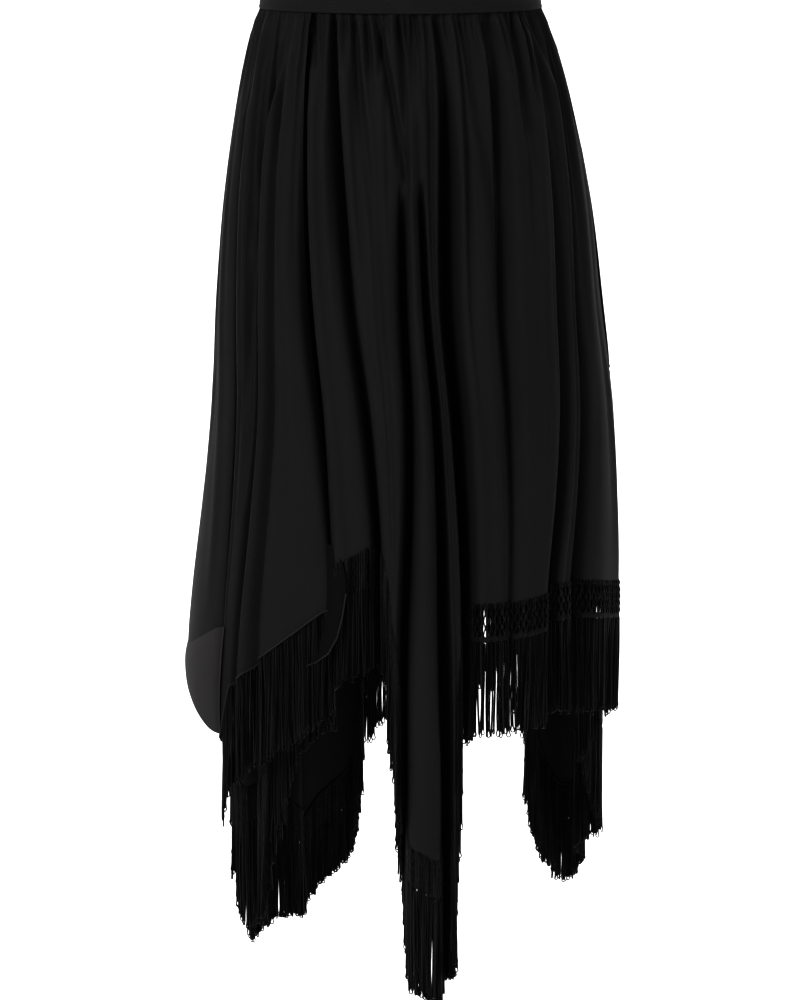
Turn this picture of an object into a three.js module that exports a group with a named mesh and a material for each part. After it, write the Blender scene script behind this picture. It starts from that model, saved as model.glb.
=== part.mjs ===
// A gathered handkerchief-hem skirt with a draped over-panel and a long fringe on every free edge. It keeps the
// hollow form that it has when worn. Millimetres; +Z is up, the front faces -Y, and +X is on the viewer's right.
// The origin is the middle of the waist, at half the height of the waistband, where the wearer holds the skirt up.
// Angles are degrees round the body: 0 at the middle of the front, 90 at +X, 180 at the middle of the back, 270 at -X.
// A drop is a distance below the seam that joins the cloth to the waistband.

import * as THREE from "three";

const CLOTH_WALL = 1.4; // the crepe, with what its weave stands proud
const BAND_WALL = 2.4; // two layers of cloth and the elastic between them
const SEAM_GAP = 0.3; // kept between pieces that are sewn to each other
const WAIST_DIP = 8; // the waist is this much lower in front than at the sides, and higher at the back
const BAND_TOP = 20; // height of the waistband's upper edge
const SEAM_HEIGHT = -20; // height of the waistband's lower edge, where the drops start
const HIP_DROP = 272; // the drop of the tables' hip columns
const GATHER_DEGREES = 2.37; // width of half a gather at the waist, so a ring of 76 gathers
const STEEP_STEP = 4; // a column that goes in or out this much more than its neighbour has no gather
const LONGEST_MITRE = 3; // at a sharp bend the inner face lies at most this many walls away
const MITRE_SHARE = 0.7; // and at most this share of the way to the next column
const FREE_BELOW = 480; // below this drop a fold may swing out from under the over-panel
const NET_HEIGHT = 34; // the knotted heading of the skirt's own fringe
const PLAIN_HEADING = 7; // the plain heading of the over-panel's fringe
const STRAND_LENGTH = 100; // under either heading
const LOCK_PITCH = 12; // one lock stands for four or five strands
const LOCK_SHARE = 0.62; // the part of a pitch that a lock fills
const LOCK_WALL = 1.0; // how thick a lock is, inside the heading's wall
const SHORTEST_CELL = 4.2; // a stretch of hem shorter than this takes no lock
const STEEP_FALL = 10; // a column that falls this much lower than its neighbours hangs plumb below them
const PLUMB_REACH = 2; // how many columns on each side count as neighbours
const UNEVEN_ENDS = 5; // how much longer or shorter than that a lock may be
const TIP_NARROWING = 0.15; // the share by which a lock is narrower at its tip

// The outermost form of the dressed skirt at several drops: how far it reaches from the origin to each side.
const BODY = [
  { drop: 0, left: 133, right: 133, front: 102, back: 104 },
  { drop: 45, left: 145, right: 150, front: 113, back: 120 },
  { drop: 101, left: 156, right: 164, front: 124, back: 138 },
  { drop: 177, left: 167, right: 177, front: 135, back: 151 },
  { drop: 272, left: 174, right: 187, front: 144, back: 158 },
  { drop: 367, left: 178, right: 199, front: 152, back: 163 },
  { drop: 462, left: 187, right: 205, front: 160, back: 169 },
  { drop: 557, left: 198, right: 206, front: 167, back: 175 },
  { drop: 650, left: 206, right: 206, front: 173, back: 180 },
  { drop: 800, left: 208, right: 208, front: 178, back: 184 },
];

// How far the skirt stays inside that form where the over-panel covers it.
const LAYER_ROOM = [
  { drop: 0, room: 5.6 },
  { drop: 60, room: 11 },
  { drop: 180, room: 20 },
  { drop: 300, room: 26 },
  { drop: 560, room: 30 },
  { drop: 800, room: 31 },
];

// How far a gather stands out or in at the top of the cloth.
const GATHER_DEPTH = [
  { drop: 0, depth: 1.3 },
  { drop: 14, depth: 2.3 },
  { drop: 45, depth: 1.6 },
  { drop: 110, depth: 0.45 },
  { drop: 200, depth: 0 },
  { drop: 900, depth: 0 },
];

// Each row is a fold that stands out, with the valley that follows it. from and to are its two shoulders in degrees
// at the waist, the hip and its own hem; crown is how far it bulges; opens is the drop where the valley begins, and
// the two depths are the valley's at the hip and the hem; fall is the hem's drop at the two shoulders. under is the
// share of LAYER_ROOM that the fold stays back, 1 where the over-panel covers it, and low is that share at its hem.
const FOLD_COLUMNS = [
  "name", "waistFrom", "waistTo", "hipFrom", "hipTo", "hemFrom", "hemTo",
  "crown", "opens", "hipDepth", "hemDepth", "fallFrom", "fallTo", "under", "low",
];
const SKIRT_FOLDS = [
  ["side_left", -91, -81, -91, -80, -91, -80, 1, 0, 6, 10, 500, 520, 1, 1],
  ["left_corner", -75, -63, -73, -61, -66, -55, 2, 0, 6, 10, 640, 722, 1, 1],
  ["under_flap", -57, -45, -54, -43, -47, -35, 1, 0, 20, 22, 715, 560, 1, 1],
  ["left_panel", -36.6, -29, -28.5, -20.5, -20, -11, 3, 0, 30, 34, 482, 462, 0, 0],
  ["middle_panel", -25, -4, -14.5, -3, -6.8, -1.5, 4, 150, 30, 26, 470, 596, 0, 0],
  ["front_point", 0, 2.4, 0.6, 4.2, 2.6, 11.6, 7, 145, 24, 34, 758, 772, 0, 0],
  ["narrow_fold", 5.8, 12.4, 6.8, 9.6, 16.6, 15.8, 1, 60, 36, 42, 745, 572, 0.22, 0.2],
  ["right_panel_a", 18, 31, 15.8, 26.5, 18.8, 27.2, 3, 0, 9, 6, 536, 536, 0, 0],
  ["right_panel_b", 38, 56, 32, 49.5, 30.4, 40, 4, 0, 13, 28, 536, 530, 0, 0],
  ["right_fold", 62, 70, 57, 61.5, 44.4, 49.6, 1, 0, 15, 26, 524, 524, 0.1, 0.1],
  ["side_right", 76, 90, 68, 88, 57.5, 86, 2, 0, 6, 10, 526, 540, 0, 0],
  ["back_right", 101, 109, 102, 109, 99, 105, 1, 0, 8, 12, 640, 665, 1, 0.2],
  ["right_corner", 115, 128, 113, 125, 113, 124, 3, 0, 8, 16, 690, 722, 1, 0.35],
  ["back_a", 136, 147, 135, 146, 136, 147, 1, 0, 8, 16, 590, 545, 1, 1],
  ["back_b", 154, 166, 154, 166, 155, 167, 1, 0, 8, 16, 536, 536, 1, 1],
  ["back_c", 173, 187, 173, 186, 173, 190.5, 1, 0, 8, 18, 536, 540, 1, 1],
  ["back_corner", 195, 214, 194, 214, 196.5, 213, 3, 0, 8, 20, 720, 760, 1, 1],
  ["back_corner_side", 222, 234, 222, 234, 222, 236, 2, 0, 8, 14, 765, 780, 1, 1],
  ["back_d", 242, 259, 242, 259, 247, 258, 1, 0, 8, 12, 665, 600, 1, 1],
];
const OVER_FOLDS = [
  ["right_edge", 101, 111, 98.5, 109, 99, 109, 3, 0, 8, 10, 330, 385, 0, 0],
  ["back_right", 118, 129, 116, 127, 116, 126, 4, 0, 9, 13, 425, 468, 0, 0],
  ["back_slope_a", 136, 147, 134, 146, 134, 145, 4, 0, 9, 14, 500, 535, 0, 0],
  ["back_slope_b", 153, 165, 153, 166, 153, 167, 5, 0, 10, 16, 555, 575, 0, 0],
  ["back_middle", 172, 185, 174, 186, 176, 187, 4, 0, 9, 14, 595, 620, 0, 0],
  ["back_left", 192, 205, 193, 206, 195, 207, 4, 0, 9, 14, 650, 695, 0, 0],
  ["back_corner", 212, 225, 213, 226, 215, 227, 5, 0, 9, 14, 728, 722, 0, 0],
  ["back_corner_side", 232, 246, 233, 246, 235, 246, 4, 0, 8, 13, 640, 575, 0, 0],
  ["side_left", 253, 284, 254, 292, 254, 303.5, 2, 0, 5, 13, 584, 666, 0, 0],
  ["front_fold_a", 289, 301, 298, 306, 305.8, 308.5, 1, 0, 13, 5, 671, 620, 0, 0],
  ["front_fold_b", 304.5, 308, 310, 312.6, 311, 313.5, 1, 0, 8, 10, 613, 606, 0, 0],
  ["flap", 312, 318.5, 317.5, 326, 319, 336.2, 3, 0, 24, 24, 589, 544, 0, 0],
];
const OVER_START = { waist: 99.5, hip: 97, hem: 97.5, fall: 318 }; // the free edge at the right of the back
const OVER_END = { waist: 320.2, hip: 327.8, hem: 337.2, fall: 541 }; // the edge tucked in beside the flap
const FIRST_BACK_FOLD = "back_right"; // the side seams lie in the valleys before this fold and before side_left
const PLAIN_HEM = { from: 246, to: 306 }; // where the over-panel's corner is turned back and shows no fringe
const TUCK_DEPTH = 12; // how far the flap's edge goes in

// Drops of the cloth's rings. Below the last one the rest of each column is divided evenly down to its hem.
const SKIRT_RINGS = [0, 14, 45, 110, 200, 290, 370, 440];
const OVER_RINGS = [0, 14, 45, 110, 200, 290];
const SKIRT_RINGS_BELOW = 2;
const OVER_RINGS_BELOW = 3;

const SHADES = {
  crepe: new THREE.MeshStandardMaterial({ color: 0x1c1a1b, roughness: 0.85, metalness: 0 }),
  band: new THREE.MeshStandardMaterial({ color: 0x201e1f, roughness: 0.8, metalness: 0 }),
  fringe: new THREE.MeshStandardMaterial({ color: 0x121112, roughness: 0.6, metalness: 0 }),
};

const mix = (a, b, t) => a + (b - a) * t;
const clamp = (v, low, high) => Math.min(high, Math.max(low, v));
const ease = (t) => t * t * (3 - 2 * t);

// Cubic through p1 and p2 at t from 0 to 1, with the slopes that p0 and p3 give.
function through(p0, p1, p2, p3, t) {
  const a = (p2 - p0) / 2;
  const b = (p3 - p1) / 2;
  return (
    p1 * (2 * t ** 3 - 3 * t ** 2 + 1) +
    a * (t ** 3 - 2 * t ** 2 + t) +
    p2 * (3 * t ** 2 - 2 * t ** 3) +
    b * (t ** 3 - t ** 2)
  );
}

// A smooth value of one column of a table whose rows are in order of drop.
function column(table, drop, key) {
  const last = table.length - 1;
  const wanted = clamp(drop, 0, table[last].drop);
  let i = 0;
  while (i < last - 1 && table[i + 1].drop <= wanted) i += 1;
  const row = (k) => table[clamp(k, 0, last)];
  const span = row(i + 1).drop - row(i).drop;
  const slope = (k) => (row(k + 1)[key] - row(k - 1)[key]) / (row(k + 1).drop - row(k - 1).drop);
  const t = (wanted - row(i).drop) / span;
  const [a, b] = [row(i)[key], row(i + 1)[key]];
  return through(b - 2 * slope(i) * span, a, b, a + 2 * slope(i + 1) * span, t);
}

// A point of the skirt: out is how far it stands off the body's form, square to it.
function bodyPoint(degrees, drop, out) {
  const angle = THREE.MathUtils.degToRad(degrees);
  const left = column(BODY, drop, "left");
  const right = column(BODY, drop, "right");
  const half = (left + right) / 2;
  const deep = column(BODY, drop, Math.cos(angle) > 0 ? "front" : "back");
  const normal = new THREE.Vector2(Math.sin(angle) / half, -Math.cos(angle) / deep).normalize();
  return new THREE.Vector3(
    (right - left) / 2 + half * Math.sin(angle) + normal.x * out,
    -deep * Math.cos(angle) + normal.y * out,
    SEAM_HEIGHT - SEAM_GAP - drop - WAIST_DIP * Math.cos(angle),
  );
}

// An angle that runs from the waist through the hip to its own hem, and stays there below it.
function angleAt(waist, hip, hem, fall, drop) {
  const d = Math.min(drop, fall);
  const low = (hem - hip) / (fall - HIP_DROP);
  const high = (hip - waist) / HIP_DROP;
  const middle = (low + high) / 2;
  if (fall <= HIP_DROP) return mix(waist, hem, d / fall);
  if (d < HIP_DROP) {
    return through(hip - 2 * high * HIP_DROP, waist, hip, waist + 2 * middle * HIP_DROP, d / HIP_DROP);
  }
  const span = fall - HIP_DROP;
  return through(hem - 2 * middle * span, hip, hem, hip + 2 * low * span, (d - HIP_DROP) / span);
}

function valleyDepth(fold, drop) {
  if (drop <= fold.opens) return 0;
  if (drop < HIP_DROP) return fold.hipDepth * (1 - (1 - (drop - fold.opens) / (HIP_DROP - fold.opens)) ** 2);
  const low = Math.max(fold.fallTo, HIP_DROP + 1);
  return mix(fold.hipDepth, fold.hemDepth, clamp((drop - HIP_DROP) / (low - HIP_DROP), 0, 1));
}

const folds = (rows) => rows.map((row) => Object.fromEntries(FOLD_COLUMNS.map((key, i) => [key, row[i]])));

// The stations of a row of folds: two shoulders, the crown between them, and the valley before the next fold.
// Each says where it is at a drop, as [degrees, out], how far its hem falls, and its degrees at the waist.
function stationsOf(rows, closed) {
  const list = folds(rows);
  const from = (f, drop) => angleAt(f.waistFrom, f.hipFrom, f.hemFrom, f.fallFrom, drop);
  const to = (f, drop) => angleAt(f.waistTo, f.hipTo, f.hemTo, f.fallTo, drop);
  const freed = (f, drop) => ease(clamp((drop - FREE_BELOW) / Math.max(1, f.fallTo - FREE_BELOW), 0, 1));
  const base = (f, drop) => -mix(f.under, f.low, freed(f, drop)) * column(LAYER_ROOM, drop, "room");
  const grown = (drop) => ease(clamp(drop / HIP_DROP, 0, 1));
  const stations = [];
  list.forEach((fold, i) => {
    const next = list[(i + 1) % list.length];
    const turn = i + 1 < list.length ? 0 : 360;
    const middle = (drop) => (from(fold, drop) + to(fold, drop)) / 2;
    stations.push(
      { fold: fold.name, kind: "from", fall: fold.fallFrom, at: (d) => [from(fold, d), base(fold, d)] },
      {
        fold: fold.name,
        kind: "crown",
        fall: (fold.fallFrom + fold.fallTo) / 2,
        at: (d) => [middle(d), base(fold, d) + fold.crown * grown(d)],
      },
      { fold: fold.name, kind: "to", fall: fold.fallTo, at: (d) => [to(fold, d), base(fold, d)] },
    );
    if (turn && !closed) return;
    stations.push({
      fold: fold.name,
      kind: "valley",
      fall: (fold.fallTo + next.fallFrom) / 2,
      at: (d) => [
        (to(fold, d) + from(next, d) + turn) / 2,
        Math.min(base(fold, d), base(next, d)) - valleyDepth(fold, d),
      ],
    });
  });
  return stations;
}

function freeEdge(edge, out) {
  return {
    fold: "edge",
    kind: "edge",
    fall: edge.fall,
    at: (drop) => [angleAt(edge.waist, edge.hip, edge.hem, edge.fall, drop), out * ease(clamp(drop / HIP_DROP, 0, 1))],
  };
}

// The columns of cloth between two stations of a run, about one half gather apart at the waist.
function columnsOf(stations, first, last, closed) {
  const count = stations.length;
  const at = (k, drop) => {
    const turns = closed ? Math.floor(k / count) : 0;
    const index = closed ? k - turns * count : clamp(k, 0, count - 1);
    const [degrees, out] = stations[index].at(drop);
    return [degrees + 360 * turns, out];
  };
  const fallOf = (k) => stations[closed ? ((k % count) + count) % count : clamp(k, 0, count - 1)].fall;
  const columns = [];
  for (let k = first; k < last; k += 1) {
    const wide = at(k + 1, 0)[0] - at(k, 0)[0];
    const steps = Math.max(1, Math.round(wide / GATHER_DEGREES));
    for (let s = 0; s < steps; s += 1) columns.push({ k, t: s / steps });
  }
  columns.push({ k: last - 1, t: 1 });
  const smooth = (j, drop, part) => {
    const { k, t } = columns[clamp(j, 0, columns.length - 1)];
    return through(...[-1, 0, 1, 2].map((n) => at(k + n, drop)[part]), t);
  };
  return columns.map(({ k, t }, j) => ({
    fall: mix(fallOf(k), fallOf(k + 1), t),
    point(drop) {
      const [before, out, after] = [j - 1, j, j + 1].map((n) => smooth(n, drop, 1));
      const steep = Math.max(Math.abs(out - before), Math.abs(after - out)) / STEEP_STEP;
      const gather = (j % 2 ? 1 : -1) * column(GATHER_DEPTH, drop, "depth") * Math.max(0, 1 - steep);
      return { degrees: smooth(j, drop, 0), out: out + gather };
    },
  }));
}

// The drop from which a column hangs plumb: where its neighbours end, if it goes much lower than they do.
function plumbFrom(columns, j) {
  const ends = Math.min(...columns.slice(Math.max(0, j - PLUMB_REACH), j + PLUMB_REACH + 1).map((c) => c.fall));
  return columns[j].fall - ends > STEEP_FALL ? ends : columns[j].fall;
}

// The outer points of a cloth, one list for each column, from the waist seam to the hem.
function outerGrid(columns, rings, below) {
  const start = rings[rings.length - 1];
  return columns.map((c, j) => {
    const plumb = plumbFrom(columns, j);
    const knee = Math.min(plumb, mix(start, c.fall, (below - 1) / below));
    const bends = Array.from({ length: below - 1 }, (_, i) => mix(start, knee, (i + 1) / (below - 1)));
    return [...rings, ...bends, c.fall].map((drop) => {
      const { degrees, out } = c.point(Math.min(drop, plumb));
      const placed = bodyPoint(degrees, Math.min(drop, plumb), out);
      return placed.setZ(placed.z - Math.max(0, drop - plumb));
    });
  });
}

// The same points moved in by the wall, square to the cloth. A point at a sharp bend goes further, so that both of
// the flanks that meet there keep their wall, but not so far that it passes its neighbours.
function innerGrid(outer, wall) {
  const side = (j, i) => outer[clamp(j, 0, outer.length - 1)][clamp(i, 0, outer[0].length - 1)];
  return outer.map((line, j) =>
    line.map((p, i) => {
      const down = side(j, i + 1).clone().sub(side(j, i - 1)).normalize();
      const steps = [p.clone().sub(side(j - 1, i)), side(j + 1, i).clone().sub(p)]
        .map((v) => v.projectOnPlane(down))
        .filter((v) => v.length() > 0);
      const room = Math.min(...steps.map((v) => v.length())) * MITRE_SHARE;
      const across = new THREE.Vector3();
      steps.forEach((v) => across.addScaledVector(v, 1 / (v.length() * steps.length)));
      const mitre = wall / Math.max(across.length(), 1 / LONGEST_MITRE);
      const inward = down.cross(across).normalize();
      return p.clone().addScaledVector(inward, -Math.max(wall, Math.min(mitre, room)));
    }),
  );
}

// A cut edge is drawn back by half the gap that a seam keeps.
function drawBack(grid, seams) {
  const half = SEAM_GAP / 2;
  const pull = (line, beside) =>
    line.forEach((p, i) => {
      const away = beside[i].clone().sub(p).setZ(0).normalize();
      p.addScaledVector(away, half);
    });
  if (seams.start) pull(grid[0], grid[1]);
  if (seams.end) pull(grid[grid.length - 1], grid[grid.length - 2]);
}

function meshOf(name, points, faces, material) {
  const geometry = new THREE.BufferGeometry();
  geometry.setAttribute("position", new THREE.Float32BufferAttribute(points.flatMap((p) => p.toArray()), 3));
  geometry.setIndex(faces);
  geometry.computeVertexNormals();
  const mesh = new THREE.Mesh(geometry, material);
  mesh.name = name;
  return mesh;
}

// A cloth as one closed solid: its outer face, its inner face, and the four edges that join them. Both faces are cut
// into triangles along the same diagonals, so the wall stays between them where the cloth twists.
function clothSolid(name, outer, inner, material) {
  const [wide, tall] = [outer.length, outer[0].length];
  const points = [...outer.flat(), ...inner.flat()];
  const front = (j, i) => j * tall + i;
  const back = (j, i) => wide * tall + j * tall + i;
  const faces = [];
  const quad = (a, b, c, d) => faces.push(a, b, c, a, c, d);
  for (let j = 0; j < wide - 1; j += 1) {
    for (let i = 0; i < tall - 1; i += 1) {
      quad(front(j, i), front(j, i + 1), front(j + 1, i + 1), front(j + 1, i));
      quad(back(j, i), back(j + 1, i), back(j + 1, i + 1), back(j, i + 1));
    }
    quad(front(j, 0), front(j + 1, 0), back(j + 1, 0), back(j, 0));
    quad(front(j + 1, tall - 1), front(j, tall - 1), back(j, tall - 1), back(j + 1, tall - 1));
  }
  for (let i = 0; i < tall - 1; i += 1) {
    quad(front(0, i + 1), front(0, i), back(0, i), back(0, i + 1));
    quad(front(wide - 1, i), front(wide - 1, i + 1), back(wide - 1, i + 1), back(wide - 1, i));
  }
  return meshOf(name, points, faces, material);
}

// How many locks hang from each stretch of a hem, and how wide they are as a share of it.
function lockStretches(line) {
  let owed = LOCK_PITCH / 2;
  return line.slice(0, -1).map((p, j) => {
    const next = line[j + 1];
    const long = Math.hypot(next.outer.x - p.outer.x, next.outer.y - p.outer.y);
    owed += long;
    if (long < SHORTEST_CELL) return { count: 0, share: 0 };
    const room = long < LOCK_PITCH ? 1 : Math.floor(long / LOCK_PITCH);
    const count = Math.min(room, Math.floor(owed / LOCK_PITCH));
    owed = Math.min(owed - count * LOCK_PITCH, LOCK_PITCH);
    return { count, share: count ? Math.min((LOCK_SHARE * LOCK_PITCH) / long, 0.8 / count) : 0 };
  });
}

// A fringe: a narrow heading just under the hem, with locks that hang from its lower edge as part of it.
function fringeSolid(name, line, heading, material) {
  const points = [];
  const faces = [];
  const add = (p) => points.push(p) - 1;
  const quad = (a, b, c, d) => faces.push(a, b, c, a, c, d);
  const lowered = (p, by) => p.clone().setZ(p.z - by);
  const corners = line.map(({ outer, inner }) => ({
    outerTop: add(lowered(outer, SEAM_GAP)),
    outerLow: add(lowered(outer, SEAM_GAP + heading)),
    innerTop: add(lowered(inner, SEAM_GAP)),
    innerLow: add(lowered(inner, SEAM_GAP + heading)),
  }));
  const inset = (1 - LOCK_WALL / CLOTH_WALL) / 2;
  lockStretches(line).forEach(({ count, share }, j) => {
    const [a, b] = [corners[j], corners[j + 1]];
    quad(a.outerTop, a.outerLow, b.outerLow, b.outerTop);
    quad(a.innerTop, b.innerTop, b.innerLow, a.innerLow);
    quad(b.outerTop, b.innerTop, a.innerTop, a.outerTop);
    const root = (along, across) => {
      const outer = line[j].outer.clone().lerp(line[j + 1].outer, along);
      const inner = line[j].inner.clone().lerp(line[j + 1].inner, along);
      return lowered(outer.lerp(inner, across), SEAM_GAP + heading);
    };
    let [outside, inside] = [a.outerLow, a.innerLow];
    for (let k = 0; k < count; k += 1) {
      const middle = (k + 0.5) / count;
      const [start, end] = [middle - share / 2, middle + share / 2];
      const roots = [root(start, inset), root(end, inset), root(end, 1 - inset), root(start, 1 - inset)];
      const uneven = UNEVEN_ENDS * Math.sin((j + k * 0.4) * 2.4);
      const foot = roots[0].clone().lerp(roots[2], 0.5).z - STRAND_LENGTH + uneven;
      const tips = roots.map((p) => p.clone().lerp(roots[0].clone().lerp(roots[2], 0.5), TIP_NARROWING).setZ(foot));
      const [p, q, r, s] = roots.map(add);
      const [P, Q, R, S] = tips.map(add);
      quad(p, outside, inside, s);
      faces.push(b.outerLow, outside, p, b.outerLow, p, q);
      faces.push(b.innerLow, r, s, b.innerLow, s, inside);
      quad(q, p, P, Q);
      quad(r, q, Q, R);
      quad(s, r, R, S);
      quad(p, s, S, P);
      quad(Q, P, S, R);
      [outside, inside] = [q, r];
    }
    quad(b.outerLow, outside, inside, b.innerLow);
  });
  const [first, last] = [corners[0], corners[corners.length - 1]];
  quad(first.outerLow, first.outerTop, first.innerTop, first.innerLow);
  quad(last.outerTop, last.outerLow, last.innerLow, last.innerTop);
  return meshOf(name, points, faces, material);
}

// The waistband: an oval ring that widens towards the hips.
function waistband() {
  const heights = [SEAM_HEIGHT, -7, 6, BAND_TOP];
  const reach = [
    { half: 132.5, deep: 102 },
    { half: 130, deep: 100 },
    { half: 127.5, deep: 98 },
    { half: 126, deep: 96.5 },
  ];
  const steps = 48;
  const profile = [
    ...heights.map((z, i) => ({ z, half: reach[i].half, deep: reach[i].deep })),
    ...heights.map((z, i) => ({ z, half: reach[i].half - BAND_WALL, deep: reach[i].deep - BAND_WALL })).reverse(),
  ];
  const points = [];
  const faces = [];
  for (let j = 0; j < steps; j += 1) {
    const angle = (2 * Math.PI * j) / steps;
    profile.forEach(({ z, half, deep }) => {
      const height = z - WAIST_DIP * Math.cos(angle);
      points.push(new THREE.Vector3(half * Math.sin(angle), -deep * Math.cos(angle), height));
    });
  }
  const ring = profile.length;
  const at = (j, i) => (j % steps) * ring + (i % ring);
  for (let j = 0; j < steps; j += 1) {
    for (let i = 0; i < ring; i += 1) {
      faces.push(at(j, i), at(j + 1, i), at(j + 1, i + 1), at(j, i), at(j + 1, i + 1), at(j, i + 1));
    }
  }
  return meshOf("waistband", points, faces, SHADES.band);
}

const skirt = new THREE.Group();
skirt.add(waistband());

const hemOf = (outer, inner) =>
  outer.map((line, j) => ({ outer: line[line.length - 1], inner: inner[j][line.length - 1] }));

// The skirt's own cloth is a ring in two panels, front and back, sewn at the sides.
const skirtStations = stationsOf(SKIRT_FOLDS, true);
const lastValley = skirtStations.length - 1;
const rightSeam = skirtStations.findIndex((s) => s.fold === FIRST_BACK_FOLD) - 1;
[
  ["front", lastValley - skirtStations.length, rightSeam],
  ["back", rightSeam, lastValley],
].forEach(([side, first, last]) => {
  const columns = columnsOf(skirtStations, first, last, true);
  const outer = outerGrid(columns, SKIRT_RINGS, SKIRT_RINGS_BELOW);
  const inner = innerGrid(outer, CLOTH_WALL);
  drawBack(outer, { start: true, end: true });
  drawBack(inner, { start: true, end: true });
  skirt.add(clothSolid(`skirt_${side}`, outer, inner, SHADES.crepe));
  skirt.add(fringeSolid(`fringe_${side}`, hemOf(outer, inner), NET_HEIGHT, SHADES.fringe));
});

// The over-panel goes from a free edge at the right of the back, round the left side, to the flap's tucked edge.
const overStations = [
  freeEdge(OVER_START, 1),
  ...stationsOf(OVER_FOLDS, false),
  freeEdge(OVER_END, -TUCK_DEPTH),
];
const overColumns = columnsOf(overStations, 0, overStations.length - 1, false);
const overOuter = outerGrid(overColumns, OVER_RINGS, OVER_RINGS_BELOW);
const overInner = innerGrid(overOuter, CLOTH_WALL);
skirt.add(clothSolid("over_panel", overOuter, overInner, SHADES.crepe));
const overHem = hemOf(overOuter, overInner);
const hemDegrees = overColumns.map((c) => c.point(c.fall).degrees);
const isBack = (_, j) => hemDegrees[j] <= PLAIN_HEM.from;
const isFlap = (_, j) => hemDegrees[j] >= PLAIN_HEM.to;
skirt.add(fringeSolid("fringe_over_back", overHem.filter(isBack), PLAIN_HEADING, SHADES.fringe));
skirt.add(fringeSolid("fringe_over_flap", overHem.filter(isFlap), PLAIN_HEADING, SHADES.fringe));

export default skirt;
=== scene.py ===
import math
from collections import namedtuple

import bpy
import numpy as np
from bpy.props import FloatProperty, FloatVectorProperty, IntProperty, PointerProperty
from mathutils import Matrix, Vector


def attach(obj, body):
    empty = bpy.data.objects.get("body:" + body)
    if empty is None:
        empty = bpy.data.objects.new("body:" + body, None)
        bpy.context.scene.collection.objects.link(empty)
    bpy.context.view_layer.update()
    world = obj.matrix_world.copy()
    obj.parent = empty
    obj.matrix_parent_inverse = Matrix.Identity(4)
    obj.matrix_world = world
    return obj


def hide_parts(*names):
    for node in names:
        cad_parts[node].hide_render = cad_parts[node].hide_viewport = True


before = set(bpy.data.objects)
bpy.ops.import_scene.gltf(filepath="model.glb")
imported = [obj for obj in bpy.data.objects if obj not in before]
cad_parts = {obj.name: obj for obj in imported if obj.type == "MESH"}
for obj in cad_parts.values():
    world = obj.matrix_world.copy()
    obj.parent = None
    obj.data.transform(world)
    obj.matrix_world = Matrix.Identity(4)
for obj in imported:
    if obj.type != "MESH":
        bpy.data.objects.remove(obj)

bl_info = {
    "name": "Fringed handkerchief skirt",
    "version": (1, 0, 0),
    "blender": (4, 5, 0),
    "location": "3D Viewport > Sidebar > Skirt",
    "description": "Dresses a gathered skirt with an over-panel, a knotted heading and a looped fringe",
    "category": "Object",
}

# The dressed cloth repeats the form of the solids, in millimetres. +Z is up and the front faces -Y.
# Angles are degrees round the body: 0 at the middle of the front, 90 at +X. A drop is a distance below
# the waistband's seam.

MM = 0.001
SEAM_HEIGHT = -20  # of the seam under the waistband
SEAM_GAP = 0.3
WAIST_DIP = 8  # the waist is this much lower in front than at the sides
HIP_DROP = 272
HALF_WALL = 0.7  # the cloth lies in the middle of the solids' wall
GATHER_DEGREES = 4.2  # between the uneven gathers
GATHER_LIMIT = 20.0  # the deepest that gathers pull the skirt's cloth in
ROOM_SHARE = 0.8  # of the room under the over-panel that its gathers may use
FREE_BELOW = 480  # where a fold that lies under another comes free
PLUMB_WINDOW = 4.8  # degrees to each side where the shortest cloth sets how far the folds go on changing
PLUMB_SOFTNESS = 14

Reach = namedtuple("Reach", "drop left right front back")
BODY = [
    Reach(0, 133, 133, 102, 104),
    Reach(45, 145, 150, 113, 120),
    Reach(101, 156, 164, 124, 138),
    Reach(177, 167, 177, 135, 151),
    Reach(272, 174, 187, 144, 158),
    Reach(367, 178, 199, 152, 163),
    Reach(462, 187, 205, 160, 169),
    Reach(557, 198, 206, 167, 175),
    Reach(650, 206, 206, 173, 180),
    Reach(800, 208, 208, 178, 184),
]

# The waistband's section: up its outside from the seam, over its upper edge and down its inside.
Ring = namedtuple("Ring", "height half_width half_depth")
BAND_SECTION = [
    Ring(-19.7, 131.0, 100.2),
    Ring(-20.0, 132.0, 101.4),
    Ring(-19.2, 132.6, 102.1),
    Ring(-17.4, 132.5, 102.0),
    Ring(-16.2, 131.9, 101.5),
    Ring(-15.0, 132.1, 101.7),
    Ring(-10.0, 131.0, 100.9),
    Ring(-3.0, 129.5, 99.6),
    Ring(6.0, 127.7, 98.1),
    Ring(14.0, 126.5, 97.0),
    Ring(17.6, 126.2, 96.7),
    Ring(19.4, 125.8, 96.3),
    Ring(20.0, 124.9, 95.4),
    Ring(19.4, 124.1, 94.6),
    Ring(14.0, 124.0, 94.6),
    Ring(0.0, 126.4, 97.0),
    Ring(-12.0, 129.0, 99.0),
    Ring(-19.7, 130.2, 99.6),
]

Room = namedtuple("Room", "drop room")
LAYER_ROOM = [Room(0, 5.6), Room(60, 11), Room(180, 20), Room(300, 26), Room(560, 30), Room(800, 31)]

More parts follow.
